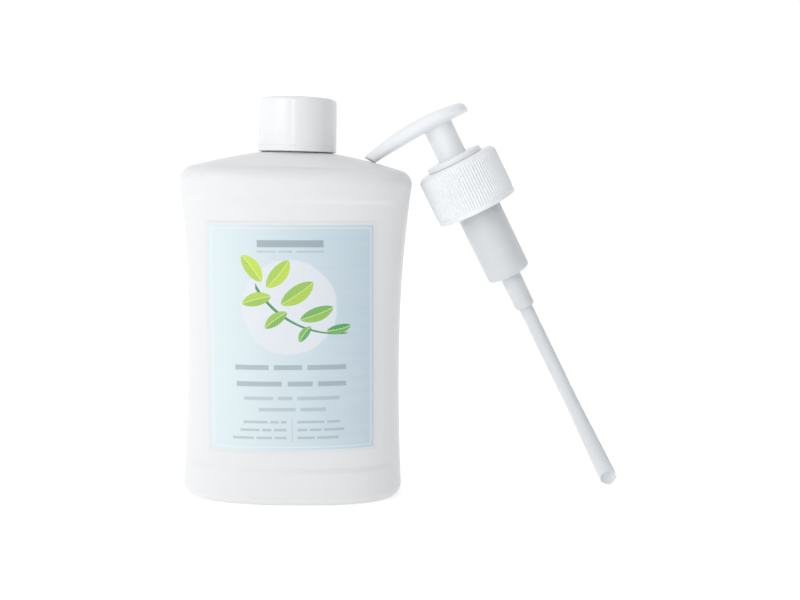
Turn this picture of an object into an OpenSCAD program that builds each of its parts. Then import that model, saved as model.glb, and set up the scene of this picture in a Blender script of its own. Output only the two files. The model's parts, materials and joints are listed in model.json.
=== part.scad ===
// Lotion bottle with its screw cap on, and the lotion pump that leans against its shoulder.
// Millimetres. The origin is the centre of the bottle's foot, +Z is up and the label faces -Y.

/* [Bottle body] */
// Width of the body at the shoulder edge
body_w = 91.5; // [88:0.5:96]
// Width of the body at the waist
waist_w = 84.4; // [80:0.2:88]
// Width of the body just above the foot
foot_w = 88.6; // [84:0.2:92]
// Depth of the body from front to back
body_d = 48; // [44:0.5:52]
// Height of the waist
waist_z = 66; // [55:1:75]
// Height at which the shoulder edge starts to turn inwards
edge_z = 125.6; // [124:0.1:127]
// Height of the shoulder where it meets the neck
neck_z = 137.2; // [136:0.1:138]
// Radius of the shoulder edge
edge_r = 5.8; // [4:0.1:7]
// Radius of the lower corner
foot_r = 4; // [3:0.1:5]
// Squareness of the body's cross-section, 2 is an ellipse
squareness = 2.41; // [2.2:0.01:2.8]
// Thickness of the bottle's wall
wall = 1.3; // [1.2:0.1:1.8]
// Depth of the recessed label panels
panel_depth = 0.7; // [0.3:0.1:0.9]
// Height of the panels' lower crease
crease_low_z = 14.3; // [12:0.1:18]
// Height of the panels' upper crease
crease_high_z = 118.5; // [115:0.1:120]

/* [Neck and cap] */
// Radius of the neck under its thread
neck_r = 12.65; // [12.5:0.05:12.7]
// Radius of the bore through the neck
neck_bore_r = 10.7; // [10:0.1:11]
// Length of the neck above the shoulder
neck_h = 18; // [17:0.1:18.5]
// Radius of the neck over its thread
thread_r = 13.7; // [13.5:0.05:13.8]
// Rise of the thread in one turn
thread_pitch = 4.233; // [4.233]
// Number of turns of thread on the neck
thread_turns = 1.5; // [1:0.25:1.5]
// Outer radius of the screw cap
cap_r = 15.5; // [15:0.1:16]
// Height of the screw cap
cap_h = 20.8; // [20:0.1:21.2]

/* [Label] */
// Width of a label
label_w = 65.6; // [50:0.2:68]
// Height of a label
label_h = 89.2; // [70:0.2:92]
// Height of the label's lower edge
label_z = 21.4; // [18:0.1:26]
// Angle by which the front label is stuck on askew
label_skew = 1.2; // [0:0.1:2]

/* [Pump] */
// Lean of the pump's axis from upright, in degrees
pump_lean = 28.1; // [27.7:0.05:28.1]
// Turn of the pump's leaning plane about the vertical, in degrees
pump_swing = 4; // [2:0.5:6]
// Radius of the head's neck, which runs in the collar
head_neck_r = 6; // [5.8:0.05:6.2]
// Outer radius of the collar
collar_r = 11.7; // [11:0.1:12.5]
// Outer radius of the ribbed closure
closure_r = 16.9; // [16.5:0.1:17.2]
// Height of the ribbed closure
closure_h = 21.2; // [20.8:0.1:21.4]
// Number of ribs around the closure
rib_count = 88; // [60:1:96]
// Outer radius of the pump housing
housing_r = 9.15; // [9:0.05:9.3]
// Bore radius of the pump housing
housing_bore_r = 8; // [7.8:0.05:8.1]
// Radius of the dip tube
tube_r = 2.9; // [2.5:0.1:2.9]
// Wall of the dip tube
tube_wall = 0.8; // [0.6:0.1:1]
// Half width of the dip tube's flared end
tube_flare_r = 3.7; // [3:0.1:4]
// Length of the dip tube
tube_len = 93; // [92:0.5:93]
// Running clearance between round parts that slide or turn
running_fit = 0.05; // [0.03:0.01:0.08]

/* [Hidden] */

round_fn = 96;
body_points = 72;
inner_points = 56;
edge_angle = 74.6;
body_half_d = body_d / 2;
shoulder_start = body_w / 2 - edge_r * (1 - cos(edge_angle));
shoulder_start_z = edge_z + edge_r * sin(edge_angle);
neck_foot_r = 13.2;
shoulder_bow = 1.3;
crease_half = 1.3;
panel_width_share = 0.93;
base_thickness = 2.8;
push_up = 1.4;
push_up_inset = 8;
neck_top = neck_z + neck_h;

cap_bottom = neck_z + 0.2;
cap_top = cap_bottom + cap_h;
cap_top_wall = 1.7;
cap_bore_r = 14.2;
cap_edge_r = 1.5;
female_r = 13.1;
liner_gap = 0.05;
thread_start = neck_top - 2.2 - thread_pitch * thread_turns;

label_lift = 0.06;
label_t = 0.14;

// Where the tip of the dip tube stands on the floor beside the bottle
pump_tip = [135.35, 11.4, 0.25];

// Heights along the pump's own axis, from the tip of the dip tube
socket_low = 86.6;
socket_top = 101.8;
chamber_r = 3.1;
seat_low = 96.6;
seat_high = 98.3;
inlet_r = 1.6;
bore_low = 104;
closure_low = 131.9;
closure_top = closure_low + closure_h;
closure_wall = 1.6;
flange_top = closure_top - closure_wall - 0.3;
flange_t = 1.6;
flange_r = 12.6;
gasket_t = 1.2;
rim_top = closure_top + 0.3;
rim_r = 9.6;
collar_t = 2.2;
ball_r = 2.5;
ball_z = 98.62;
disc_t = 1.3;
plug_low = 133.5;
plug_top = 136.2;
hub_low = 136.3;
hub_top = 143;
stem_r = 3.4;
stem_bore_r = 2.2;
stem_top = 166;
stop_z = hub_top + 0.9;
coil_r = 5.6;
wire_r = 0.45;
coil_turns = 8;
head_low = 168.9;
head_end = 13.7;
head_top_z = 176;
head_top_x = -5;
rib_h = 0.42;

// ---- Shapes that repeat ----

// A closed solid through a stack of rings that run anticlockwise about the way the stack grows.
// A folded ring runs out and comes back beside itself, so its ends close as a strip.
module skin(rings, folded = false) {
    n = len(rings[0]);
    m = len(rings);
    points = [for (r = rings) for (p = r) p];
    bottom = folded ? strip(0, n, false) : [[for (i = [0:n - 1]) i]];
    top = folded ? strip(m * n - n, n, true) : [[for (i = [0:n - 1]) m * n - 1 - i]];
    sides = [
        for (j = [0:m - 2]) for (i = [0:n - 1])
            each skin_pair(j * n + i, j * n + (i + 1) % n, n)
    ];
    polyhedron(points, concat(bottom, sides, top));
}

// Triangles across a folded ring of n points, turned over at the top
function strip(first, n, over) = [
    for (i = [0:n / 2 - 2])
        let (a = first + i, b = a + 1, d = first + n - 1 - i, c = d - 1)
        each over ? [[a, c, b], [a, d, c]] : [[a, b, c], [a, c, d]]
];

// The two triangles between neighbours on one ring and the ring above
function skin_pair(a, b, n) = [[a, a + n, b + n], [a, b + n, b]];

// A hollow sleeve: the rings run up the outside, then down the inside, and close on the first
module sleeve(rings) {
    n = len(rings[0]);
    m = len(rings);
    points = [for (r = rings) for (p = r) p];
    faces = [
        for (j = [0:m - 1]) for (i = [0:n - 1])
            let (here = j * n, next = ((j + 1) % m) * n, k = (i + 1) % n)
            each sleeve_pair(here + i, here + k, next + i, next + k)
    ];
    polyhedron(points, faces);
}

function sleeve_pair(a, b, c, d) = [[a, c, d], [a, d, b]];

// A ridge that climbs round the Z axis: root and crest radii, base and crest widths
module helix_ridge(root, crest, base_w, crest_w, pitch, turns) {
    steps = ceil(turns * 30);
    fade_steps = 3;
    rings = [
        for (i = [0:steps])
            let (
                a = 360 * turns * i / steps,
                z = pitch * turns * i / steps,
                grow = min(1, min(i, steps - i) / fade_steps + 0.15),
                tip = root + (crest - root) * grow
            )
            [
                [root * cos(a), root * sin(a), z - base_w / 2],
                [root * cos(a), root * sin(a), z + base_w / 2],
                [tip * cos(a), tip * sin(a), z + crest_w / 2],
                [tip * cos(a), tip * sin(a), z - crest_w / 2]
            ]
    ];
    if (crest > root) skin(rings);
    else skin([for (r = rings) [r[0], r[3], r[2], r[1]]]);
}

// ---- The body's surface ----

// Half width of the body at a height between the foot and the shoulder edge
function half_w(z) =
    z > waist_z
    ? waist_w / 2 + (body_w - waist_w) / 2 * pow((z - waist_z) / (edge_z - waist_z), 2)
    : waist_w / 2 + (foot_w - waist_w) / 2 * pow((waist_z - z) / (waist_z - foot_r), 2);

// Smooth step from 0 to 1 as v goes from -half to half
function ease(v, half) = let (t = max(0, min(1, (v + half) / (2 * half)))) t * t * (3 - 2 * t);

// Depth of the label panel at a height
function recess(z) =
    panel_depth * ease(z - crease_low_z, crease_half) * ease(crease_high_z - z, crease_half);

// Share of the panel's depth that is left at a distance x from the middle
function panel_fade(x, a) = 1 - pow(min(1, abs(x) / (panel_width_share * a)), 8);

function oval_x(a, n, t) = a * sign(cos(t)) * pow(abs(cos(t)), 2 / n);
function oval_y(b, n, t) = b * sign(sin(t)) * pow(abs(sin(t)), 2 / n);

// One ring of the body: half width, half depth, squareness, height, panel depth, points
function body_ring(a, b, n, z, dip, count) = [
    for (i = [0:count - 1])
        let (t = 360 * i / count, x = oval_x(a, n, t), y = oval_y(b, n, t))
        [x, y - sign(y) * dip * panel_fade(x, a), z]
];

// Height of the shoulder above a half width x
function shoulder_height(x) =
    neck_z - (neck_z - shoulder_start_z)
    * pow(max(0, x - neck_foot_r) / (shoulder_start - neck_foot_r), shoulder_bow);

// A shoulder ring: k goes from 0 at the shoulder edge to 1 at the neck
function shoulder_ring(k, inset, drop, count) =
    let (
        b0 = body_half_d - edge_r * (1 - cos(edge_angle)),
        x = shoulder_start + (neck_foot_r - shoulder_start) * k,
        y = b0 + (neck_foot_r - b0) * k,
        n = squareness + (2 - squareness) * k
    )
    body_ring(x - inset, y - inset, n, shoulder_height(x) - drop, 0, count);

// Heights of the rings between the foot and the shoulder edge
wall_z = concat(
    [for (z = [foot_r + 3:3.2:crease_low_z - 2]) z],
    [for (s = [-1:0.5:1]) crease_low_z + s * crease_half],
    [for (z = [22:10:112]) z],
    [for (s = [-1:0.5:1]) crease_high_z + s * crease_half],
    [edge_z - 3, edge_z]
);

outer_rings = concat(
    [
        for (f = [0:18:90])
            let (inset = foot_r * (1 - sin(f)))
            body_ring(half_w(foot_r) - inset, body_half_d - inset, squareness,
                foot_r * (1 - cos(f)), 0, body_points)
    ],
    [for (z = wall_z) body_ring(half_w(z), body_half_d, squareness, z, recess(z), body_points)],
    [
        for (f = [12:12.5:edge_angle])
            let (inset = edge_r * (1 - cos(f)))
            body_ring(body_w / 2 - inset, body_half_d - inset, squareness,
                edge_z + edge_r * sin(f), 0, body_points)
    ],
    [for (k = [0.14:0.143:1]) shoulder_ring(k, 0, 0, body_points)],
    [body_ring(neck_bore_r - 1.5, neck_bore_r - 1.5, 2, neck_z, 0, body_points)]
);

inner_z = [base_thickness + foot_r, crease_low_z - 2, crease_low_z + 2, 30, 48, 66, 84, 102,
    crease_high_z - 2, crease_high_z + 2, edge_z - 1];

inner_rings = concat(
    [
        for (f = [20:35:90])
            let (inset = wall + foot_r * (1 - sin(f)))
            body_ring(half_w(foot_r) - inset, body_half_d - inset, squareness,
                base_thickness + foot_r * (1 - cos(f)), 0, inner_points)
    ],
    [
        for (z = inner_z)
            body_ring(half_w(z) - wall, body_half_d - wall, squareness, z, recess(z), inner_points)
    ],
    [
        for (f = [20:25:70])
            let (inset = wall + (edge_r - 1) * (1 - cos(f)))
            body_ring(body_w / 2 - inset, body_half_d - inset, squareness,
                edge_z - 1 + (edge_r - 0.6) * sin(f), 0, inner_points)
    ],
    [for (k = [0.2:0.25:0.95]) shoulder_ring(k, wall, wall + 0.1, inner_points)]
);

// ---- Bottle side ----

module neck_blank() {
    rim = 0.5;
    rotate_extrude($fn = round_fn)
        polygon([
            [0, neck_z - 1.1], [neck_r, neck_z - 1.1], [neck_r, neck_top - rim],
            [neck_r - rim, neck_top], [0, neck_top]
        ]);
}

module bottle() {
    color("white")
    difference() {
        union() {
            skin(outer_rings);
            neck_blank();
            translate([0, 0, thread_start])
                helix_ridge(neck_r - 0.4, thread_r, 2.2, 1.0, thread_pitch, thread_turns);
        }
        skin(inner_rings);
        translate([0, 0, neck_z - 3])
            cylinder(h = neck_h + 4, r = neck_bore_r, $fn = round_fn);
        translate([0, 0, -1])
            linear_extrude(height = push_up + 1)
                polygon([
                    for (i = [0:47])
                        let (t = 360 * i / 48, a = foot_w / 2 - push_up_inset, b = body_half_d - push_up_inset)
                        [oval_x(a, 2.2, t), oval_y(b, 2.2, t)]
                ]);
    }
}

// Distance of the body's front from the middle plane
function front_y(x, z) =
    body_half_d * pow(1 - pow(abs(x) / half_w(z), squareness), 1 / squareness)
    - recess(z) * panel_fade(x, half_w(z));

// A label that follows the panel; side is -1 for the front and 1 for the back
module label_sheet(side, skew) {
    columns = 20;
    rows = 10;
    mid_z = label_z + label_h / 2;
    faces_out = [
        for (j = [0:rows])
            [
                for (s = [0, 1]) for (i = [0:columns])
                    let (
                        c = s == 0 ? i : columns - i,
                        u = label_w * (c / columns - 0.5),
                        v = label_h * (j / rows - 0.5),
                        x = u * cos(skew) - v * sin(skew),
                        z = mid_z + u * sin(skew) + v * cos(skew),
                        out = label_lift + (s == 0 ? label_t : 0)
                    )
                    [-side * x, side * (front_y(x, z) + out), z]
            ]
    ];
    skin(faces_out, folded = true);
}

module front_label() {
    color("lightblue") label_sheet(-1, label_skew);
}

module back_label() {
    color("lightblue") label_sheet(1, 0);
}

module screw_cap() {
    groove_z = 2;
    groove = 0.15;
    round_x = cap_r - 0.1 - cap_edge_r;
    color("whitesmoke")
    translate([0, 0, cap_bottom])
    union() {
        difference() {
            rotate_extrude($fn = round_fn)
                polygon(concat(
                    [
                        [0, 0], [cap_r - 0.3, 0], [cap_r, 0.3], [cap_r, groove_z - groove],
                        [cap_r - groove, groove_z], [cap_r - groove, groove_z + 0.2], [cap_r, groove_z + 0.35]
                    ],
                    [
                        for (f = [0:15:90])
                            [round_x + cap_edge_r * cos(f), cap_h - cap_edge_r + cap_edge_r * sin(f)]
                    ],
                    [[0, cap_h]]
                ));
            translate([0, 0, -1])
                cylinder(h = cap_h - cap_top_wall + 1, r = cap_bore_r, $fn = round_fn);
        }
        translate([0, 0, thread_start - cap_bottom - thread_pitch / 2])
            helix_ridge(cap_bore_r + 0.3, female_r, 1.9, 0.9, thread_pitch, 1.25);
    }
}

module cap_liner() {
    liner_h = cap_top - cap_top_wall - neck_top - 2 * liner_gap;
    color("gainsboro")
    translate([0, 0, neck_top + liner_gap])
        cylinder(h = liner_h, r = cap_bore_r - 0.35, $fn = round_fn);
}

// ---- Pump side ----

// Half width of the dip tube at a height above its tip
function tube_half_w(z) = tube_r + (tube_flare_r - tube_r) * (1 - ease(z - 24, 22));

// Half depth of the dip tube at a height above its tip
function tube_half_d(z) = tube_r - 0.5 * (1 - ease(z - 24, 22));

// Moves a piece from the pump's own axis to its place beside the bottle
module in_place() {
    translate(pump_tip)
        rotate([0, 0, pump_swing])
            rotate([0, -pump_lean, 0])
                children();
}

// The head, seen from the side: heights of its top and underside at a distance x from the pump's axis
function head_crown(x) = head_top_z - 0.0063 * pow(x - head_top_x, 2);
function head_top(x) =
    x > 9
    ? head_low + (head_crown(x) - head_low) * sqrt(max(0.02, 1 - pow((x - 9) / (head_end - 9), 4)))
    : head_crown(x);
function head_under(x) = head_low - 0.06 * max(0, head_top_x - x);

// Half width of the head at a distance x from the pump's axis
function head_half_w(x) =
    x > 1
    ? 10.4 * pow(1 - pow((x - 1) / (head_end - 1), 2.4), 1 / 2.4)
    : 10.4 - 5.6 * pow((1 - x) / 32, 1.25);

// One ring of the head: a rounded section with a shallow saddle on top
function head_ring(x) =
    let (
        half_h = (head_top(x) - head_under(x)) / 2,
        mid = (head_top(x) + head_under(x)) / 2,
        slant = 0.65 * max(0, min(1, (-24 - x) / 5)),
        saddle = 0.7
    )
    [
        for (i = [0:27])
            let (
                t = 360 * i / 28,
                up = oval_x(half_h, 2.7, t),
                y = oval_y(head_half_w(x), 2.7, t),
                dip = up > 0 ? saddle * (1 - pow(y / head_half_w(x), 2)) * up / half_h : 0
            )
            [x - slant * up, y, mid + up - dip]
    ];

head_stations = concat(
    [for (f = [12:13:90]) 1 + (head_end - 1) * cos(f)],
    [for (x = [-2:-3.6:-31]) x]
);

module actuator() {
    spout_r = 1.3;
    spout_run = 40;
    drop = 4.5;
    mouth_z = 172;
    neck_low = 145;
    neck_sink = 1.4;
    neck_wall = 0.9;
    socket_wall = 1.1;
    room_top = 166.5;
    stop_room = 6;
    below = neck_low - 1;
    color("white")
    in_place()
    difference() {
        union() {
            skin([for (x = head_stations) head_ring(x)]);
            translate([0, 0, neck_low])
                cylinder(h = head_low - neck_low + neck_sink, r = head_neck_r, $fn = round_fn);
        }
        // The room inside the neck, round the stem's socket
        translate([0, 0, below])
            difference() {
                cylinder(h = room_top - below, r = head_neck_r - neck_wall, $fn = round_fn);
                cylinder(h = room_top - below, r = stem_r + socket_wall, $fn = round_fn);
            }
        translate([0, 0, below])
            cylinder(h = stop_room, r = stem_r + 1.6, $fn = round_fn);
        translate([0, 0, below])
            cylinder(h = stem_top - below + 0.3, r = stem_r + running_fit, $fn = round_fn);
        cylinder(h = mouth_z, r = stem_bore_r - 0.2, $fn = round_fn);
        translate([0, 0, mouth_z])
            rotate([0, -90 - drop, 0])
                translate([0, 0, -1.2])
                    cylinder(h = spout_run, r = spout_r, $fn = 48);
    }
}

module stem() {
    port_r = 0.7;
    port_rise = 1.4;
    color("ivory")
    in_place()
    difference() {
        union() {
            translate([0, 0, plug_top])
                cylinder(h = stem_top - plug_top, r = stem_r, $fn = round_fn);
            translate([0, 0, stop_z])
                cylinder(h = 1, r = stem_r + 1, $fn = round_fn);
        }
        translate([0, 0, plug_top - 1])
            cylinder(h = stem_top - plug_top + 2, r = stem_bore_r, $fn = round_fn);
        for (a = [0, 90])
            rotate([0, 0, a])
                translate([0, 0, plug_top + port_rise])
                    rotate([0, 90, 0])
                        cylinder(h = 4 * stem_r, r = port_r, center = true, $fn = 32);
    }
}

module valve_plug() {
    plug_r = 6.3;
    guide_r = 4.4;
    guide_h = 2;
    spigot = 0.6;
    color("ivory")
    in_place()
    rotate_extrude($fn = round_fn)
        polygon([
            [0, plug_low - guide_h], [guide_r - 0.4, plug_low - guide_h], [guide_r, plug_low - guide_h + 0.4],
            [guide_r, plug_low], [plug_r, plug_low], [plug_r, plug_top - 0.8], [plug_r - 0.8, plug_top],
            [stem_bore_r, plug_top], [stem_bore_r, plug_top + spigot], [0, plug_top + spigot]
        ]);
}

module piston() {
    hub_r = 5;
    lip_r = housing_bore_r - running_fit;
    waist_r = lip_r - 0.2;
    skirt_r = 6.9;
    web_low = hub_low + 2.9;
    web_top = web_low + 1.3;
    lip_low = hub_low + 0.7;
    lip_top = hub_top + 0.8;
    lip_h = 1.2;
    color("lightgray")
    in_place()
    rotate_extrude($fn = round_fn)
        polygon([
            [stem_r + running_fit, hub_low], [hub_r, hub_low], [hub_r, web_low], [skirt_r, web_low],
            [skirt_r + 0.2, lip_low + 0.2], [lip_r, lip_low], [lip_r, lip_low + lip_h],
            [waist_r, lip_low + lip_h + 0.4], [waist_r, lip_top - lip_h - 0.4], [lip_r, lip_top - lip_h],
            [lip_r, lip_top], [skirt_r + 0.2, lip_top - 0.2], [skirt_r, web_top], [hub_r, web_top],
            [hub_r, hub_top], [stem_r + running_fit, hub_top]
        ]);
}

// A round coil spring that stands on the seat and holds the plug up
module return_spring() {
    low = bore_low + disc_t + wire_r + 0.05;
    high = plug_low - wire_r - 0.05;
    steps = coil_turns * 18;
    end_share = 0.09;
    color("silver")
    in_place()
    skin([
        for (i = [0:steps])
            let (
                s = i / steps,
                a = 360 * coil_turns * s,
                // the end turns lie nearly flat
                steady = max(0, min(1, (s - end_share) / (1 - 2 * end_share))),
                rise = ease(s - 0.5, 0.5) * 0.35 + steady * 0.65,
                z = low + (high - low) * rise
            )
            [
                for (j = [0:7])
                    let (w = 45 * j, r = coil_r + wire_r * cos(w))
                    [r * cos(a), r * sin(a), z - wire_r * sin(w)]
            ]
    ]);
}

module lock_collar() {
    edge = 0.9;
    bore_r = head_neck_r + 0.08;
    skirt_r = housing_bore_r - 0.02;
    skirt_h = 6;
    color("white")
    in_place()
    rotate_extrude($fn = round_fn)
        polygon(concat(
            [
                [bore_r, rim_top - skirt_h], [skirt_r, rim_top - skirt_h],
                [skirt_r, rim_top], [collar_r - 0.3, rim_top], [collar_r, rim_top + 0.3]
            ],
            [
                for (f = [0:15:90])
                    [collar_r - edge + edge * cos(f), rim_top + collar_t - edge - 0.25 + edge * sin(f)]
            ],
            [[bore_r + 0.4, rim_top + collar_t], [bore_r, rim_top + collar_t - 0.4]]
        ));
}

// Outline of the ribbed band
function rib_outline() = [
    for (i = [0:rib_count - 1]) for (s = [0:3])
        let (
            a = 360 / rib_count * (i + [0, 0.22, 0.5, 0.72][s]),
            r = closure_r - (s == 1 || s == 2 ? 0 : rib_h)
        )
        [r * cos(a), r * sin(a)]
];

module closure_ring() {
    core_r = closure_r - rib_h - 0.12;
    band_r = closure_r - 0.1;
    band_h = 1.8;
    foot_round = 1.2;
    round_r = 1.9;
    thread_low = 8;
    color("white")
    in_place()
    translate([0, 0, closure_low])
    union() {
        difference() {
            union() {
                rotate_extrude($fn = round_fn)
                    polygon(concat(
                        [[0, 0]],
                        [
                            for (f = [-90:15:0])
                                [band_r - foot_round + foot_round * cos(f), foot_round + foot_round * sin(f)]
                        ],
                        [[band_r, band_h - 0.2], [core_r, band_h]],
                        [
                            for (f = [0:15:90])
                                [core_r - round_r + round_r * cos(f), closure_h - round_r + round_r * sin(f)]
                        ],
                        [[0, closure_h]]
                    ));
                translate([0, 0, band_h - 0.1])
                    linear_extrude(height = closure_h - round_r - band_h + 0.1)
                        polygon(rib_outline());
            }
            translate([0, 0, -1])
                cylinder(h = closure_h - closure_wall + 1, r = cap_bore_r, $fn = round_fn);
            cylinder(h = closure_h + 1, r = rim_r + 0.35, $fn = round_fn);
        }
        translate([0, 0, thread_low])
            helix_ridge(cap_bore_r + 0.3, female_r, 1.9, 0.9, thread_pitch, 1.25);
    }
}

module gasket() {
    color("gainsboro")
    in_place()
    translate([0, 0, flange_top - flange_t - gasket_t])
        difference() {
            cylinder(h = gasket_t, r = flange_r, $fn = round_fn);
            translate([0, 0, -1])
                cylinder(h = gasket_t + 2, r = housing_r + 0.05, $fn = round_fn);
        }
}

module pump_housing() {
    low_round = 2.3;
    socket_r = 4.3;
    tube_fit = 0.02;
    round_x = housing_r - 0.1 - low_round;
    color("lightsteelblue", 0.6)
    in_place()
    rotate_extrude($fn = round_fn)
        polygon(concat(
            [
                [tube_r + tube_fit, socket_low], [socket_r - 0.6, socket_low],
                [socket_r - 0.25, socket_low + 0.5], [socket_r, socket_top - 0.2], [socket_r + 0.3, socket_top]
            ],
            [
                for (f = [-80:20:0])
                    [round_x + low_round * cos(f), socket_top + low_round + low_round * sin(f)]
            ],
            [
                [housing_r, closure_low], [housing_r, flange_top - flange_t],
                [flange_r, flange_top - flange_t],
                [flange_r, flange_top], [rim_r, flange_top], [rim_r, rim_top], [housing_bore_r, rim_top],
                [housing_bore_r, bore_low + 0.6], [housing_bore_r - 0.6, bore_low], [chamber_r, bore_low],
                [chamber_r, seat_high], [inlet_r, seat_low], [inlet_r, tube_len + 0.6],
                [tube_r + tube_fit, tube_len + 0.6]
            ]
        ));
}

module spring_seat() {
    finger_z = 102.8;
    hole_r = 1.9;
    disc_r = 7.3;
    post_r = 4.6;
    post_bore_r = 3.5;
    post_top = bore_low + 6;
    color("whitesmoke")
    in_place()
    union() {
        rotate_extrude($fn = round_fn)
            polygon([
                [hole_r, bore_low], [disc_r, bore_low], [disc_r, bore_low + disc_t],
                [post_r, bore_low + disc_t],
                [post_r, post_top], [post_bore_r, post_top], [post_bore_r, bore_low + disc_t],
                [hole_r, bore_low + disc_t]
            ]);
        for (a = [0:120:240])
            rotate([0, 0, a])
                translate([2, -0.35, finger_z])
                    cube([0.8, 0.7, bore_low - finger_z + 0.5]);
    }
}

module inlet_ball() {
    color("silver")
    in_place()
    translate([0, 0, ball_z])
        sphere(r = ball_r, $fn = round_fn);
}

// Height of the slanted cut above the tip, where x and y are shares of the tube's half width and depth
function cut_z(x, y) = 7.2 * (1 - (y * cos(8) + x * sin(8))) / 2;

// One ring of the dip tube, thinned by an inset
function tube_ring(z, inset, slant) = [
    for (i = [0:31])
        let (
            t = 360 * i / 32,
            low = max(0, 1 - z / 12) * slant
        )
        [
            (tube_half_w(z) - inset) * cos(t), (tube_half_d(z) - inset) * sin(t),
            z + low * cut_z(cos(t), sin(t))
        ]
];

module dip_tube() {
    heights = [0, 12, 18, 24, 30, 36, 42, 48, tube_len];
    color("lightsteelblue", 0.6)
    in_place()
    sleeve(concat(
        [for (z = heights) tube_ring(z, 0, 1)],
        [for (j = [len(heights) - 1:-1:0]) tube_ring(heights[j], tube_wall, 1)]
    ));
}

bottle();
front_label();
back_label();
screw_cap();
cap_liner();
actuator();
stem();
valve_plug();
piston();
return_spring();
lock_collar();
closure_ring();
gasket();
pump_housing();
spring_seat();
inlet_ball();
dip_tube();
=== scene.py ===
"""The looks of a lotion bottle with a screw cap and of the pump that leans on its shoulder.

Lengths are millimetres in the CAD frame until a mesh is made, and metres after that.
"""
import json
import math

import bmesh
import bpy
import numpy as np
from mathutils import Matrix, Vector


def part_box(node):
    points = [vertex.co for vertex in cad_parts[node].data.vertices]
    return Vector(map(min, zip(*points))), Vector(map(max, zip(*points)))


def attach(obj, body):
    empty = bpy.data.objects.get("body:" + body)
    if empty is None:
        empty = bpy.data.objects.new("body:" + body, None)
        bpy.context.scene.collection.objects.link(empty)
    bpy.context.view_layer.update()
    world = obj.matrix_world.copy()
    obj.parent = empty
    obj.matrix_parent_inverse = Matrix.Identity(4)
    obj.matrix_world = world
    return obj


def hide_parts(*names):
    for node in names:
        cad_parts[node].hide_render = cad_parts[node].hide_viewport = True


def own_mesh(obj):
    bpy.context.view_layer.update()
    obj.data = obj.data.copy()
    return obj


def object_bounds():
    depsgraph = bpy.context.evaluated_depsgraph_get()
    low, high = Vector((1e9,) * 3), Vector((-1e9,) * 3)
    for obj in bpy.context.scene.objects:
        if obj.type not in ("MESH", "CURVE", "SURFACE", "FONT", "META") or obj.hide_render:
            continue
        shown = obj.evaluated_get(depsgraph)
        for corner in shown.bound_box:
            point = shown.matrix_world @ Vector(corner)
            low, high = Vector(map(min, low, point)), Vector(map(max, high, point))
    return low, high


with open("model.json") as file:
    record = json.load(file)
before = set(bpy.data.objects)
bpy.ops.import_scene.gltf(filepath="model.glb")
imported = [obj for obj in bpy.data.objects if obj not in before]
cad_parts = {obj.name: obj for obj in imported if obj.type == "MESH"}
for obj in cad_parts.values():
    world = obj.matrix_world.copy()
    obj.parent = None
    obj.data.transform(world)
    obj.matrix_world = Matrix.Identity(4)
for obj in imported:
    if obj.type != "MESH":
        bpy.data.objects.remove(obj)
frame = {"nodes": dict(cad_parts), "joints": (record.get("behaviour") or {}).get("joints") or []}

cad_low, cad_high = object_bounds()
MM = 0.001
FULL_TURN = 2 * math.pi


# ---- Sizes from the frame ----

def cad_box(node):
    """The lowest and highest corner of a CAD node, in millimetres."""
    low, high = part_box(node)
    return np.array(low) / MM, np.array(high) / MM


bottle_low, bottle_high = cad_box("bottle")
cap_low, cap_high = cad_box("screw_cap")
joints = {joint["name"]: joint for joint in frame["joints"]}

BODY_W = bottle_high[0] - bottle_low[0]
BODY_D = bottle_high[1] - bottle_low[1]
NECK_TOP = bottle_high[2]
CAP_R = (cap_high[0] - cap_low[0]) / 2
CAP_BOTTOM = cap_low[2]
CAP_TOP = cap_high[2]

# ---- Sizes of the bottle ----

WAIST_W = 84.4
FOOT_W = 88.6
WAIST_Z = 66
EDGE_Z = 125.6
NECK_Z = NECK_TOP - 18
EDGE_R = 5.8
EDGE_ANGLE = math.radians(74.6)
FOOT_R = 4
SQUARENESS = 2.41
WALL = 1.3
PANEL_DEPTH = 0.7
PANEL_SHARE = 0.93
CREASE_LOW_Z = 14.3
CREASE_HIGH_Z = 118.5
CREASE_HALF = 1.3
NECK_R = 12.65
NECK_FOOT_R = 13.2
NECK_BORE_R = 10.7
SHOULDER_BOW = 1.3
BASE_THICKNESS = 2.8
PUSH_UP = 1.4
PUSH_UP_INSET = 8
THREAD_PITCH = 4.233
THREAD_HEIGHT = 1.05
THREAD_TURNS = 1.5
THREAD_START = NECK_TOP - 2.2 - THREAD_PITCH * THREAD_TURNS
SEAM = 0.06

SHOULDER_START = BODY_W / 2 - EDGE_R * (1 - math.cos(EDGE_ANGLE))
SHOULDER_START_Z = EDGE_Z + EDGE_R * math.sin(EDGE_ANGLE)

# ---- Sizes of the cap and the labels ----

CAP_TOP_WALL = 1.7
CAP_BORE_R = 14.2
CAP_EDGE_R = 1.5
CAP_THREAD_HEIGHT = 1.05
LINER_GAP = 0.05
LABEL_W = 65.6
LABEL_H = 89.2
LABEL_Z = 21.4
LABEL_SKEW = math.radians(1.2)
LABEL_LIFT = 0.06
LABEL_T = 0.12

# ---- Heights along the pump's axis, from the tip of the dip tube ----

HEAD_JOINT = 160
SOCKET_LOW = 86.6
SOCKET_TOP = 101.8
SEAT_LOW = 96.6
SEAT_HIGH = 98.3
BORE_LOW = 104
CLOSURE_LOW = 131.9
CLOSURE_H = 21.2
CLOSURE_TOP = CLOSURE_LOW + CLOSURE_H
FLANGE_TOP = CLOSURE_TOP - 1.9
RIM_TOP = CLOSURE_TOP + 0.3
COLLAR_T = 2.2
PLUG_LOW = 133.5
NECK_LOW = 145
HEAD_LOW = 168.9
TUBE_LEN = 93
MOUTH_Z = 172

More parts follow.
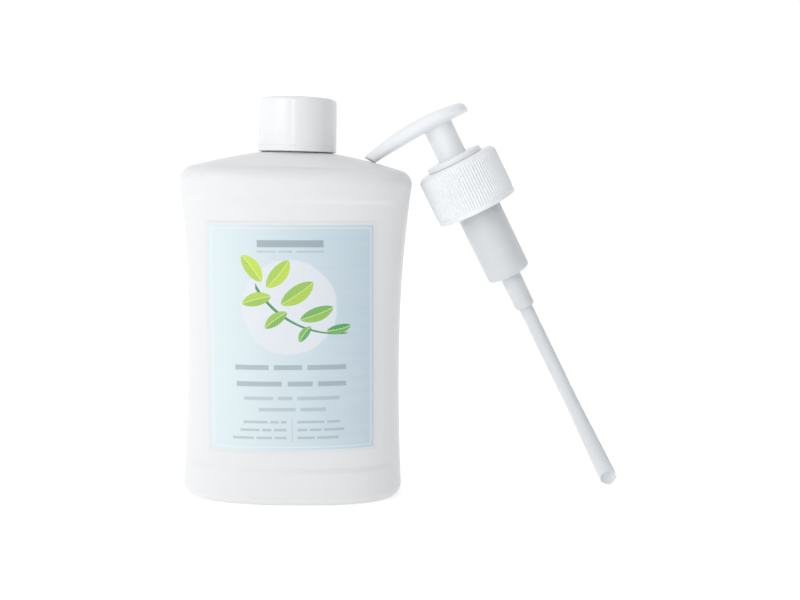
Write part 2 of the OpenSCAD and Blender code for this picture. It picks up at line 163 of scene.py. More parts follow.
CLOSURE_R = 16.9
RIB_COUNT = 88
RIB_H = 0.42
HEAD_NECK_R = 6
HEAD_END = 13.7
HEAD_R = 10.4
HEAD_TOP = 176
HEAD_BOW = 0.0063
HEAD_TURN_X = 9
CREST_X = -5
DISC_X = 1
STEM_FIT_R = 3.45
SPOUT_DROP = math.radians(4.5)
CHANNEL_R = 1.3
COLLAR_R = 11.7
HOUSING_R = 9.15
HOUSING_BORE_R = 8
RIM_R = 9.6
FLANGE_R = 12.6
TUBE_R = 2.9
TUBE_FLARE_R = 3.7
TUBE_WALL = 0.8
COIL_R = 5.6
WIRE_R = 0.45
COIL_TURNS = 8


def pump_place():
    """The pump's own axes and the tip of its dip tube, as columns x, y, z and origin."""
    joint = joints["head_turn"]
    up = np.array(joint["axis"], float)
    up /= np.linalg.norm(up)
    tip = np.array(joint["pos_m"]) / MM - HEAD_JOINT * up
    lean = np.array([-up[0], -up[1], 0])
    lean /= np.linalg.norm(lean)
    side = np.cross([0, 0, 1], lean)
    return np.column_stack([np.cross(side, up), side, up, tip])


PUMP = pump_place()
UPRIGHT = np.column_stack([np.eye(3), np.zeros(3)])


# ---- Mesh tools ----

def ease(value, half):
    """A smooth step from 0 to 1 as value goes from -half to half."""
    t = np.clip((value + half) / (2 * half), 0, 1)
    return t * t * (3 - 2 * t)


def oval(half_x, half_y, power, angles):
    """Points on a superellipse: power 2 is an ellipse, and more is squarer."""
    c, s = np.cos(angles), np.sin(angles)
    x = half_x * np.sign(c) * np.abs(c) ** (2 / power)
    y = half_y * np.sign(s) * np.abs(s) ** (2 / power)
    return x, y


def around(count):
    """Angles of count points round a full turn."""
    return np.arange(count) * FULL_TURN / count


def new_object(name, points, faces, place=UPRIGHT, crease=32):
    """A closed mesh object from points in millimetres; edges over crease degrees stay sharp."""
    points = np.asarray(points, float) @ place[:, :3].T + place[:, 3]
    mesh = bpy.data.meshes.new(name)
    mesh.from_pydata((points * MM).tolist(), [], faces)
    turn_outwards(mesh)
    smooth(mesh, crease)
    piece = bpy.data.objects.new(name, mesh)
    bpy.context.scene.collection.objects.link(piece)
    return piece


def turn_outwards(mesh):
    """Makes every face of a closed mesh look outwards."""
    work = bmesh.new()
    work.from_mesh(mesh)
    bmesh.ops.recalc_face_normals(work, faces=work.faces)
    work.to_mesh(mesh)
    work.free()


def smooth(mesh, crease):
    """Smooth shading with edges over crease degrees kept sharp."""
    mesh.shade_smooth()
    mesh.set_sharp_from_angle(angle=math.radians(crease))


def shell(name, rings, loop=False, place=UPRIGHT, crease=32):
    """A closed surface through rings of equal length; loop joins the last ring to the first,
    and otherwise each end closes in a fan on its centre."""
    rings = np.asarray(rings, float)
    rows, columns = rings.shape[:2]
    index = np.arange(rows * columns).reshape(rows, columns)
    lower = index if loop else index[:-1]
    upper = np.roll(index, -1, axis=0) if loop else index[1:]
    quads = np.stack([lower, np.roll(lower, -1, 1), np.roll(upper, -1, 1), upper], axis=-1)
    faces = quads.reshape(-1, 4).tolist()
    points = rings.reshape(-1, 3)
    if not loop:
        ends = [rings[0].mean(axis=0), rings[-1].mean(axis=0)]
        points = np.vstack([points, ends])
        for row, centre in ((index[0], rows * columns), (index[-1], rows * columns + 1)):
            faces += [[int(a), int(b), centre] for a, b in zip(row, np.roll(row, -1))]
    return new_object(name, points, faces, place, crease)


def rounded(corners, loop=True, steps=5):
    """An outline of (radius, height, rounding) corners, each corner eased by a short curve."""
    corners = [np.array(corner, float) for corner in corners]
    outline = []
    for i, corner in enumerate(corners):
        here, size = corner[:2], corner[2] if len(corner) > 2 else 0
        at_end = not loop and i in (0, len(corners) - 1)
        if size == 0 or at_end:
            outline.append(here)
            continue
        back = corners[i - 1][:2] - here
        ahead = corners[(i + 1) % len(corners)][:2] - here
        back_len, ahead_len = np.linalg.norm(back), np.linalg.norm(ahead)
        cut = min(size, 0.48 * back_len, 0.48 * ahead_len)
        start, end = here + back / back_len * cut, here + ahead / ahead_len * cut
        for t in np.linspace(0, 1, steps):
            outline.append((1 - t) ** 2 * start + 2 * t * (1 - t) * here + t * t * end)
    return np.array(outline)


def finely(outline, low, high, step):
    """Splits the outline's upright stretches between two heights into short steps."""
    out = [outline[0]]
    for before, after in zip(outline[:-1], outline[1:]):
        tall = abs(after[1] - before[1])
        inside = min(before[1], after[1]) >= low - step and max(before[1], after[1]) <= high + step
        parts = max(1, int(tall / step)) if inside else 1
        out += [before + (after - before) * (k + 1) / parts for k in range(parts)]
    return np.array(out)


def revolve(outline, columns=128, relief=None):
    """Rings of an outline turned round the axis; relief adds to the radius by place."""
    radius, height = outline[:, 0][:, None], outline[:, 1][:, None]
    angles = around(columns)[None, :]
    height = height + 0 * angles
    radius = radius + 0 * angles
    if relief is not None:
        radius = radius + relief(radius, height, angles)
    return np.stack([radius * np.cos(angles), radius * np.sin(angles), height], axis=-1)


def thread(height, angle, start, turns, base, crest):
    """Share, from 0 to 1, of a helical ridge's full height at a place on a cylinder."""
    share = 0 * height * angle
    for lap in range(math.ceil(turns) + 1):
        turned = angle / FULL_TURN + lap
        run_out = np.clip(np.minimum(turned, turns - turned) / 0.08, 0, 1)
        away = np.abs(height - start - THREAD_PITCH * turned)
        flank = np.clip((base / 2 - away) / ((base - crest) / 2), 0, 1)
        share = np.maximum(share, flank * flank * (3 - 2 * flank) * np.sqrt(run_out))
    return share


def cut(piece, tool, operation="DIFFERENCE", crease=32):
    """Applies a Boolean of tool to piece, and deletes tool."""
    change = piece.modifiers.new("cut", "BOOLEAN")
    change.object = tool
    change.operation = operation
    change.solver = "EXACT"
    bpy.context.view_layer.update()
    made = piece.evaluated_get(bpy.context.evaluated_depsgraph_get())
    mesh = bpy.data.meshes.new_from_object(made)
    piece.modifiers.clear()
    piece.data = mesh
    smooth(mesh, crease)
    bpy.data.objects.remove(tool)


# ---- The bottle's surface ----

def half_w(z):
    """Half width of the body at a height."""
    above = WAIST_W / 2 + (BODY_W - WAIST_W) / 2 * ((z - WAIST_Z) / (EDGE_Z - WAIST_Z)) ** 2
    below = WAIST_W / 2 + (FOOT_W - WAIST_W) / 2 * ((WAIST_Z - z) / (WAIST_Z - FOOT_R)) ** 2
    return np.where(z > WAIST_Z, above, below)


def recess(z):
    """Depth of the label panel at a height."""
    return PANEL_DEPTH * ease(z - CREASE_LOW_Z, CREASE_HALF) * ease(CREASE_HIGH_Z - z, CREASE_HALF)


def panel_fade(x, half):
    """Share of the panel's depth that is left at a distance from the middle."""
    return 1 - np.minimum(1, np.abs(x) / (PANEL_SHARE * half)) ** 8


def front_y(x, z):
    """Distance of the body's front from the middle plane."""
    half = half_w(z)
    flat = BODY_D / 2 * (1 - (np.abs(x) / half) ** SQUARENESS) ** (1 / SQUARENESS)
    return flat - recess(z) * panel_fade(x, half)


def body_angles():
    """Angles round the body, with close neighbours at the parting line on each side."""
    fine = np.array([-0.0045, -0.0022, 0.0022, 0.0045])
    return np.unique(np.concatenate([around(240), (fine % FULL_TURN), math.pi + fine]))


BODY_ANGLES = body_angles()
ON_SEAM = (np.abs(np.sin(BODY_ANGLES)) < 1e-9).astype(float)


def body_ring(half_x, half_y, power, z, dip=0.0, seam=SEAM):
    """One ring of the body with its two parting lines."""
    x, y = oval(half_x, half_y, power, BODY_ANGLES)
    y = y - np.sign(y) * dip * panel_fade(x, half_x)
    x = x + np.sign(x) * seam * ON_SEAM
    return np.stack([x, y, np.full_like(x, z)], axis=-1)


def shoulder_height(x):
    """Height of the shoulder above a half width."""
    run = max(0, x - NECK_FOOT_R) / (SHOULDER_START - NECK_FOOT_R)
    return NECK_Z - (NECK_Z - SHOULDER_START_Z) * run ** SHOULDER_BOW


def shoulder_ring(k, inset=0.0, drop=0.0, seam=SEAM):
    """A shoulder ring: k goes from 0 at the shoulder edge to 1 at the neck."""
    start_y = BODY_D / 2 - EDGE_R * (1 - math.cos(EDGE_ANGLE))
    x = SHOULDER_START + (NECK_FOOT_R - SHOULDER_START) * k
    y = start_y + (NECK_FOOT_R - start_y) * k
    power = SQUARENESS + (2 - SQUARENESS) * k
    return body_ring(x - inset, y - inset, power, shoulder_height(x) - drop, 0, seam)


def base_rings():
    """The recessed base with its pinch-off line, from the middle out to the resting ring."""
    rings = []
    half_x, half_y = FOOT_W / 2 - PUSH_UP_INSET, BODY_D / 2 - PUSH_UP_INSET
    for share in np.concatenate([np.linspace(0.06, 0.86, 9), np.linspace(0.9, 1.06, 9)]):
        z = PUSH_UP * (1 - ease(share - 0.98, 0.08))
        ring = body_ring(half_x * share, half_y * share, 2.2, z, 0, 0)
        ring[:, 2] -= 0.3 * ON_SEAM * (1 - ease(share - 0.86, 0.1))
        rings.append(ring)
    return rings


def outer_wall_rings():
    """The outside from the resting ring up to the neck."""
    rings = []
    for f in np.radians(np.arange(0, 91, 7.5)):
        inset = FOOT_R * (1 - math.sin(f))
        half = half_w(FOOT_R) - inset
        rings.append(body_ring(half, BODY_D / 2 - inset, SQUARENESS, FOOT_R * (1 - math.cos(f))))
    plain = np.arange(FOOT_R + 1.5, EDGE_Z, 1.7)
    middles = (CREASE_LOW_Z, CREASE_HIGH_Z)
    creases = [middle + CREASE_HALF * np.linspace(-1, 1, 11) for middle in middles]
    plain = [z for z in plain if all(abs(z - middle) > CREASE_HALF + 0.4 for middle in middles)]
    for z in sorted(list(plain) + list(np.concatenate(creases)) + [EDGE_Z]):
        rings.append(body_ring(half_w(z), BODY_D / 2, SQUARENESS, z, recess(z)))
    for f in np.linspace(0.08, EDGE_ANGLE, 16):
        inset = EDGE_R * (1 - math.cos(f))
        z = EDGE_Z + EDGE_R * math.sin(f)
        rings.append(body_ring(BODY_W / 2 - inset, BODY_D / 2 - inset, SQUARENESS, z))
    rings += [shoulder_ring(k) for k in np.linspace(0.03, 0.985, 30)]
    return rings


def neck_rings():
    """The threaded neck, its rim and its bore."""
    fillet, rim, bead_z = 0.55, 0.45, NECK_Z + 1.0
    outline = [(NECK_R + fillet * (1 - math.sin(f)), NECK_Z + fillet * (1 - math.cos(f)))
               for f in np.linspace(0.2, math.pi / 2, 5)]
    outline += [(NECK_R, z) for z in np.arange(bead_z, NECK_TOP - rim, 0.32)]
    outline += [(NECK_R - rim + rim * math.cos(f), NECK_TOP - rim + rim * math.sin(f))
                for f in np.linspace(0, math.pi / 2, 5)]
    outline += [(NECK_BORE_R + rim - rim * math.sin(f), NECK_TOP - rim + rim * math.cos(f))
                for f in np.linspace(0, math.pi / 2, 5)]
    outline += [(NECK_BORE_R, z) for z in np.linspace(NECK_TOP - 2, NECK_Z - 1.6, 7)]
    rings = []
    outside = True
    for radius, z in outline:
        outside = outside and radius > NECK_BORE_R + rim
        share = thread(np.array(z), BODY_ANGLES, THREAD_START, THREAD_TURNS, 2.2, 1.0) if outside else 0
        reach = radius + THREAD_HEIGHT * share
        rings.append(np.stack([reach * np.cos(BODY_ANGLES), reach * np.sin(BODY_ANGLES),
                               np.full_like(BODY_ANGLES, z)], axis=-1))
    return rings


def inner_rings():
    """The inside of the wall, from the neck down to the middle of the floor."""
    rings = [shoulder_ring(k, WALL, WALL + 0.1, 0) for k in np.linspace(0.94, 0.06, 14)]
    for f in np.radians(np.arange(70, 9, -10)):
        inset = WALL + (EDGE_R - 1) * (1 - math.cos(f))
        z = EDGE_Z - 1 + (EDGE_R - 0.6) * math.sin(f)
        rings.append(body_ring(BODY_W / 2 - inset, BODY_D / 2 - inset, SQUARENESS, z, 0, 0))
    for z in np.linspace(EDGE_Z - 1, BASE_THICKNESS + FOOT_R, 34):
        rings.append(body_ring(half_w(z) - WALL, BODY_D / 2 - WALL, SQUARENESS, z, recess(z), 0))
    for f in np.radians(np.arange(75, -1, -15)):
        inset = WALL + FOOT_R * (1 - math.sin(f))
        z = BASE_THICKNESS + FOOT_R * (1 - math.cos(f))
        rings.append(body_ring(half_w(FOOT_R) - inset, BODY_D / 2 - inset, SQUARENESS, z, 0, 0))
    last = rings[-1]
    rings += [np.column_stack([last[:, :2] * share, last[:, 2]]) for share in (0.7, 0.4, 0.1)]
    return rings


def make_bottle():
    """The bottle in one skin: base, wall, shoulder, neck and the inside."""
    return shell("bottle_shell", base_rings() + outer_wall_rings() + neck_rings() + inner_rings(), crease=50)


# ---- Labels ----

def make_label(name, side, skew):
    """A label that follows the panel; side is -1 for the front and 1 for the back.
    Its print coordinates, in millimetres from its middle, go along as an attribute."""
    columns, rows = 120, 150
    corner_r = 1.2
    u, v = np.meshgrid(LABEL_W * np.linspace(-0.5, 0.5, columns + 1),
                       LABEL_H * np.linspace(-0.5, 0.5, rows + 1))
    # The corners are pulled in to a small round
    past_u = np.maximum(0, np.abs(u) - (LABEL_W / 2 - corner_r)) / corner_r
    past_v = np.maximum(0, np.abs(v) - (LABEL_H / 2 - corner_r)) / corner_r
    reach = np.hypot(past_u, past_v)
    pull = np.where(reach > 0, np.maximum(past_u, past_v) / np.maximum(reach, 1e-9), 1)
    u = u - np.sign(u) * corner_r * past_u * (1 - pull)
    v = v - np.sign(v) * corner_r * past_v * (1 - pull)
    x = u * math.cos(skew) - v * math.sin(skew)
    z = LABEL_Z + LABEL_H / 2 + u * math.sin(skew) + v * math.cos(skew)
    sheets = [np.stack([-side * x, side * (front_y(x, z) + lift), z], axis=-1)
              for lift in (LABEL_LIFT, LABEL_LIFT + LABEL_T)]
    points = np.vstack([sheet.reshape(-1, 3) for sheet in sheets])
    index = np.arange(u.size).reshape(u.shape)
    faces = []
    for offset in (0, u.size):
        quads = np.stack([index[:-1, :-1], index[:-1, 1:], index[1:, 1:], index[1:, :-1]], axis=-1)
        faces += (quads + offset).reshape(-1, 4).tolist()
    border = np.concatenate([index[0, :-1], index[:-1, -1], index[-1, :0:-1], index[:0:-1, 0]])
    for a, b in zip(border, np.roll(border, -1)):
        faces.append([int(a), int(b), int(b) + u.size, int(a) + u.size])
    label = new_object(name, points, faces)
    prints = label.data.attributes.new("print_mm", "FLOAT_VECTOR", "POINT")
    flat = np.stack([u.ravel(), v.ravel(), 0 * u.ravel()], axis=-1)
    prints.data.foreach_set("vector", np.vstack([flat, flat]).ravel())
    return label


# ---- Cap and liner ----

def make_cap():
    """The cap in one skin: top with its gate mark, side, groove, rim, and the threaded inside."""
    dimple_r, dimple_z = 1.5, CAP_TOP - 0.28
    groove_z, groove = CAP_BOTTOM + 2.0, 0.16
    under = CAP_TOP - CAP_TOP_WALL
    outline = rounded([
        (0, dimple_z + 0.12), (0.35, dimple_z + 0.12, 0.1), (0.5, dimple_z, 0.1),
        (dimple_r, dimple_z, 0.3), (dimple_r + 0.35, CAP_TOP, 0.3),
        (CAP_R - 0.1, CAP_TOP, CAP_EDGE_R * 1.35), (CAP_R, groove_z + 0.5, 0.15),
        (CAP_R - groove, groove_z + 0.25, 0.1), (CAP_R - groove, groove_z, 0.1),
        (CAP_R, groove_z - 0.25, 0.15), (CAP_R, CAP_BOTTOM, 0.45), (CAP_BORE_R + 0.25, CAP_BOTTOM, 0.3),
        (CAP_BORE_R, CAP_BOTTOM + 0.8, 0.2), (CAP_BORE_R, under, 0.5), (0, under),
    ], loop=False, steps=9)
    split = int(np.argmin(outline[:, 1]))
    outline = np.vstack([outline[:split + 1], finely(outline[split:], CAP_BOTTOM, under, 0.4)[1:]])
    start = THREAD_START - THREAD_PITCH / 2

    def inner_thread(radius, height, angle):
        share = thread(height, angle, start, 1.25, 1.9, 0.9)
        return -CAP_THREAD_HEIGHT * share * (np.abs(radius - CAP_BORE_R) < 0.02)

    return shell("cap_shell", revolve(outline, 160, inner_thread), crease=40)


def make_liner():
    """The foam disc in the cap, with the neck's ring pressed into it."""
    radius = CAP_BORE_R - 0.35
    low, high = NECK_TOP + LINER_GAP, CAP_TOP - CAP_TOP_WALL - LINER_GAP
    dent = 0.12
    outline = rounded([
        (0, low), (NECK_BORE_R - 0.3, low, 0.2), (NECK_BORE_R + 0.1, low + dent, 0.2),
        (NECK_R - 0.1, low + dent, 0.2), (NECK_R + 0.3, low, 0.2),
        (radius, low, 0.2), (radius, high, 0.2), (0, high),
    ], loop=False)
    return shell("cap_liner_disc", revolve(outline, 128))


# ---- Pump head ----

def head_top(x):
    """Height of the head's top at a distance from the pump's axis."""
    crown = HEAD_TOP - HEAD_BOW * (x - CREST_X) ** 2
    turned = np.clip((x - HEAD_TURN_X) / (HEAD_END - HEAD_TURN_X), 0, 1)
    return HEAD_LOW + (crown - HEAD_LOW) * np.sqrt(np.maximum(0.012, 1 - turned ** 4))


def head_under(x):
    """Height of the head's underside, which drops a little towards the spout."""
    return HEAD_LOW - 0.06 * np.maximum(0, CREST_X - x)


def head_half_w(x):
    """Half width of the head: a round disc that narrows into the spout's arm."""
    power, narrowing, arm_len = 2.4, 5.6, 32
    out = np.maximum(0, x - DISC_X) / (HEAD_END - DISC_X)
    disc = HEAD_R * np.maximum(0, 1 - out ** power) ** (1 / power)
    arm = HEAD_R - narrowing * (np.maximum(0, DISC_X - x) / arm_len) ** 1.25
    return np.where(x > DISC_X, disc, arm)


def head_ring(x, shrink=1.0):
    """One section of the head: rounded, with a shallow saddle on top."""
    saddle = 0.7
    top, under, wide = float(head_top(x)), float(head_under(x)), float(head_half_w(x))
    half_h, mid = (top - under) / 2, (top + under) / 2
    slant = 0.65 * min(1, max(0, (-24 - x) / 5))
    up, y = oval(half_h, wide, 2.7, around(112))
    dip = np.where(up > 0, saddle * (1 - (y / max(wide, 1e-6)) ** 2) * up / half_h, 0)
    return np.stack([x - slant * up * shrink, y * shrink, mid + (up - dip) * shrink], axis=-1)


def make_head():
    """Head, neck and spout bore."""
    nose_x, nose_r = -30.5, 0.45
    disc = DISC_X + (HEAD_END - DISC_X) * np.cos(np.radians(np.linspace(2.5, 90, 40)))
    stations = list(disc) + list(np.linspace(0.4, nose_x, 76))
    rings = [head_ring(x) for x in stations]
    for f in np.radians([25, 50, 72, 88]):
        rings.append(head_ring(nose_x - nose_r * math.sin(f), 1 - 0.16 * (1 - math.cos(f))))
    head = shell("pump_head", rings, place=PUMP, crease=40)
    root_r = HEAD_NECK_R + 0.5
    neck = rounded([
        (0, NECK_LOW), (HEAD_NECK_R, NECK_LOW, 0.4), (HEAD_NECK_R, HEAD_LOW - 0.1, 0.5),
        (root_r, HEAD_LOW + 0.25), (root_r, HEAD_LOW + 1.4), (0, HEAD_LOW + 1.4),
    ], loop=False)
    cut(head, shell("neck_tool", revolve(neck, 144), place=PUMP), "UNION", 40)
    below, stop_room, stop_r, socket_top, feed_r = NECK_LOW - 2, NECK_LOW + 5, 5.0, 166.3, 2.0
    socket = np.array([
        (0, below), (stop_r, below), (stop_r, stop_room), (STEM_FIT_R, stop_room), (STEM_FIT_R, socket_top),
        (feed_r, socket_top), (feed_r, MOUTH_Z + 0.3), (0, MOUTH_Z + 0.3),
    ])
    cut(head, shell("socket_tool", revolve(socket, 96), place=PUMP), crease=40)
    room_in, room_out, room_low, room_top = 4.5, 5.1, stop_room - 0.2, 166.5
    room = np.array([(room_in, room_low), (room_out, room_low), (room_out, room_top), (room_in, room_top)])
    cut(head, shell("room_tool", revolve(room, 96), loop=True, place=PUMP), crease=40)
    cut(head, spout_tool(), crease=40)
    return head


def spout_tool():
    """The spout's channel, with a small bevel where it leaves the nose."""
    along = np.array([-math.cos(SPOUT_DROP), 0, -math.sin(SPOUT_DROP)])
    side = np.array([0, 1.0, 0])
    across = np.cross(along, side)
    angles = around(48)[:, None]
    rings = []
    steps = ((-1.2, 0.0), (30.0, 0.0), (30.6, 0.05), (33.6, 0.75))
    for distance, widening in steps:
        radius = CHANNEL_R + widening
        centre = np.array([0, 0, MOUTH_Z]) + along * distance
        rings.append(centre + radius * (np.cos(angles) * side + np.sin(angles) * across))
    return shell("spout_tool", rings, place=PUMP)


# ---- Collar and closure ----

def make_collar():
    """The collar that the head's neck slides in."""
    inner, skirt_r = HEAD_NECK_R + 0.08, HOUSING_BORE_R - 0.03
    skirt_low, seat, top = RIM_TOP - 6, CLOSURE_TOP + 0.08, RIM_TOP + COLLAR_T
    outline = rounded([
        (inner, skirt_low, 0.2), (skirt_r, skirt_low, 0.2), (skirt_r, RIM_TOP, 0), (RIM_R + 0.1, RIM_TOP, 0),
        (RIM_R + 0.3, seat, 0), (COLLAR_R, seat, 0.3), (COLLAR_R, top - 0.25, 1.5),
        (HEAD_NECK_R + 1.5, top, 0.4),
        (HEAD_NECK_R + 0.75, top, 0.25), (inner, top - 0.45, 0.15),
    ], steps=8)
    return shell("pump_collar", revolve(outline, 160), loop=True, place=PUMP)


def make_closure():
    """The ribbed closure with its thread inside."""
    low, high = CLOSURE_LOW, CLOSURE_TOP
    valley = CLOSURE_R - RIB_H
    hole = RIM_R + 0.35
    under = high - 1.6
    outline = rounded([
        (CLOSURE_R - 0.05, low, 1.5), (CLOSURE_R - 0.05, low + 1.85, 0.3), (valley, low + 2.1, 0.15),
        (valley, high, 2.5), (hole, high, 0.3), (hole, under, 0.3), (CAP_BORE_R, under, 0.4),
        (CAP_BORE_R, low, 0.4),
    ], steps=9)
    split = int(np.argmax(outline[:, 0] < hole + 0.01))
    outline = np.vstack([finely(outline[:split], low, high, 1.5), finely(outline[split:], low, high, 0.7)])
    rib_low, rib_high = low + 2.0, high - 1.5

    def relief(radius, height, angle):
        wave = (0.5 + 0.5 * np.cos(RIB_COUNT * angle)) ** 0.55
        tall = ease(height - rib_low - 0.3, 0.35) * ease(rib_high - height, 0.7)
        outside = radius > CAP_BORE_R + 1
        ribs = RIB_H * wave * tall * outside
        share = thread(height, angle, low + 8, 1.25, 1.9, 0.9)
        return ribs - CAP_THREAD_HEIGHT * share * (np.abs(radius - CAP_BORE_R) < 0.02)

    return shell("pump_closure", revolve(outline, RIB_COUNT * 8, relief), loop=True, place=PUMP, crease=45)


# ---- Housing, tube and spring ----

def make_housing():
    """The pump's clear housing: socket for the tube, ball seat, bore, flange and rim."""
    low_round, socket_r, chamber_r, inlet_r = 2.3, 4.3, 3.1, 1.6
    tube_fit_r, tube_stop = TUBE_R + 0.02, TUBE_LEN + 0.6
    outline = rounded([
        (tube_fit_r, SOCKET_LOW, 0.25), (3.75, SOCKET_LOW, 0.5), (4.1, SOCKET_LOW + 0.7, 0.4),
        (socket_r, SOCKET_TOP - 0.2, 0.3), (socket_r + 0.4, SOCKET_TOP, 0.3),
        (HOUSING_R - 0.1, SOCKET_TOP, low_round * 1.3), (HOUSING_R, CLOSURE_LOW, 0.3),
        (HOUSING_R, FLANGE_TOP - 1.6, 0.3), (FLANGE_R, FLANGE_TOP - 1.6, 0.3), (FLANGE_R, FLANGE_TOP, 0.3),
        (RIM_R, FLANGE_TOP, 0.2), (RIM_R, RIM_TOP, 0.2), (HOUSING_BORE_R, RIM_TOP, 0.15),
        (HOUSING_BORE_R, BORE_LOW + 0.6, 0.4), (HOUSING_BORE_R - 0.6, BORE_LOW, 0.4),
        (chamber_r, BORE_LOW, 0.3), (chamber_r, SEAT_HIGH, 0.2), (inlet_r, SEAT_LOW, 0.2),
        (inlet_r, tube_stop, 0.2), (tube_fit_r, tube_stop, 0.2),
    ], steps=7)
    return shell("pump_housing_shell", revolve(outline, 144), loop=True, place=PUMP, crease=40)


def tube_ring(z, inset):
    """One ring of the dip tube, flattened and flared at its slanted tip."""
    flare = 1 - ease(z - 24, 22)
    wide = TUBE_R + (TUBE_FLARE_R - TUBE_R) * flare - inset
    deep = TUBE_R - 0.5 * flare - inset
    angles = around(72)
    x, y = np.cos(angles), np.sin(angles)
    cut_h, tilt = 7.2, math.radians(8)
    slant = cut_h * (1 - (y * math.cos(tilt) + x * math.sin(tilt))) / 2
    return np.stack([wide * x, deep * y, z + max(0, 1 - z / 12) * slant], axis=-1)


def make_tube():
    """The dip tube, open at both ends."""
    lip = 0.14
    heights = list(np.arange(1, 12, 1.0)) + list(np.arange(12, TUBE_LEN - 1, 3.0)) + [TUBE_LEN - 0.4]
    rings = [tube_ring(lip, 0)] + [tube_ring(z, 0) for z in heights]
    rings += [tube_ring(TUBE_LEN, lip), tube_ring(TUBE_LEN, TUBE_WALL - lip)]
    rings += [tube_ring(z, TUBE_WALL) for z in reversed(heights)]
    rings += [tube_ring(lip, TUBE_WALL), tube_ring(0, TUBE_WALL - lip), tube_ring(0, lip)]
    return shell("dip_tube_shell", rings, loop=True, place=PUMP)


def make_spring():
    """The round wire coil that stands on the seat."""
    low, high = BORE_LOW + 1.3 + WIRE_R + 0.05, PLUG_LOW - WIRE_R - 0.05
    end_share = 0.09
    wire = around(12)
    rings = []
    for s in np.linspace(0, 1, COIL_TURNS * 48 + 1):
        turned = FULL_TURN * COIL_TURNS * s
        steady = min(1, max(0, (s - end_share) / (1 - 2 * end_share)))
        z = low + (high - low) * (0.35 * ease(s - 0.5, 0.5) + 0.65 * steady)
        reach = COIL_R + WIRE_R * np.cos(wire)
        x, y = reach * math.cos(turned), reach * math.sin(turned)
        rings.append(np.stack([x, y, z - WIRE_R * np.sin(wire)], axis=-1))
    return shell("spring_coil", rings, place=PUMP)


# ---- Materials ----

class Surface:
    """One node material, built up by short calls. A socket value may be a number or an output."""

    def __init__(self, name):
        self.material = bpy.data.materials.new(name)
        self.material.use_nodes = True
        self.tree = self.material.node_tree
        self.shader = self.tree.nodes["Principled BSDF"]

    def add(self, kind, **settings):
        node = self.tree.nodes.new(kind)
        for key, value in settings.items():
            setattr(node, key, value)
        return node

    def put(self, socket, value):
        if isinstance(value, bpy.types.NodeSocket):
            self.tree.links.new(value, socket)
        else:
            socket.default_value = value

    def math(self, operation, *values, clamp=False):
        node = self.add("ShaderNodeMath", operation=operation, use_clamp=clamp)
        for socket, value in zip(node.inputs, values):
            self.put(socket, value)
        return node.outputs[0]

    def soft_step(self, value, low, high):
        """0 below low, 1 above high and smooth between them."""
        node = self.add("ShaderNodeMapRange", interpolation_type="SMOOTHSTEP")
        for name, item in (("Value", value), ("From Min", low), ("From Max", high)):
            self.put(node.inputs[name], item)
        return node.outputs["Result"]

    def scaled(self, value, low, high):
        """Takes 0 to 1 linearly to low to high."""
        node = self.add("ShaderNodeMapRange")
        for name, item in (("Value", value), ("To Min", low), ("To Max", high)):
            self.put(node.inputs[name], item)
        return node.outputs["Result"]

    def blend(self, share, first, second):
        """Mixes two colours: share 0 is the first and 1 is the second."""
        node = self.add("ShaderNodeMix", data_type="RGBA")
        self.put(node.inputs["Factor"], share)
        for socket, value in ((node.inputs["A"], first), (node.inputs["B"], second)):
            sockets = [s for s in node.inputs if s.name == socket.name and s.type == "RGBA"]
            self.put(sockets[0], value)
        return [s for s in node.outputs if s.type == "RGBA"][0]

    def place(self):
        """Object coordinates in metres."""
        return self.add("ShaderNodeTexCoord").outputs["Object"]

    def noise(self, per_metre, detail=2.0, vector=None, roughness=0.5):
        node = self.add("ShaderNodeTexNoise")
        self.put(node.inputs["Vector"], self.place() if vector is None else vector)
        self.put(node.inputs["Scale"], per_metre)
        self.put(node.inputs["Detail"], detail)
        self.put(node.inputs["Roughness"], roughness)
        return node.outputs["Fac"]

    def bump(self, height, millimetres):
        """Relief whose full height is given in millimetres."""
        node = self.add("ShaderNodeBump")
        self.put(node.inputs["Height"], height)
        node.inputs["Distance"].default_value = millimetres * MM
        node.inputs["Strength"].default_value = 1.0
        self.put(self.shader.inputs["Normal"], node.outputs["Normal"])

    def edge_wear(self):
        """1 on worn outer edges and 0 elsewhere."""
        return self.soft_step(self.add("ShaderNodeNewGeometry").outputs["Pointiness"], 0.53, 0.62)

    def set(self, **inputs):
        for name, value in inputs.items():
            self.put(self.shader.inputs[name.replace("_", " ")], value)


def colour(red, green, blue):
    """An opaque colour."""
    return (red, green, blue, 1)


def moulded_plastic(name, bright, shade, gloss, peel):
    """White moulded plastic: faint clouding, an orange-peel skin and paler, duller edges."""
    s = Surface(name)
    cloud = s.noise(26, 3)
    grain = s.noise(140, 1)
    rub = s.noise(95, 6, roughness=0.75)
    wear = s.edge_wear()
    tint = s.blend(cloud, shade, bright)
    worn = colour(*[min(1, channel * 1.05) for channel in bright[:3]])
    s.set(Base_Color=s.blend(s.math("MULTIPLY", wear, 0.25), tint, worn), IOR=1.5)
    rough = s.scaled(cloud, gloss - 0.015, gloss + 0.02)
    rough = s.math("ADD", rough, s.scaled(rub, -0.02, 0.02))
    s.set(Roughness=s.math("ADD", rough, s.math("MULTIPLY", wear, 0.03), clamp=True))
    s.bump(grain, peel)
    return s.material


def clear_plastic(name, tint, deep, gloss, see_through):
    """Natural polypropylene: milky, with flow streaks and a soft skin."""
    s = Surface(name)
    cloud = s.noise(70, 4, roughness=0.6)
    grain = s.noise(180, 1)
    s.set(Base_Color=s.blend(cloud, deep, tint))
    s.set(Roughness=s.scaled(cloud, gloss - 0.06, gloss + 0.08))
    s.set(Transmission_Weight=see_through, IOR=1.49)
    s.bump(grain, 0.004)
    return s.material


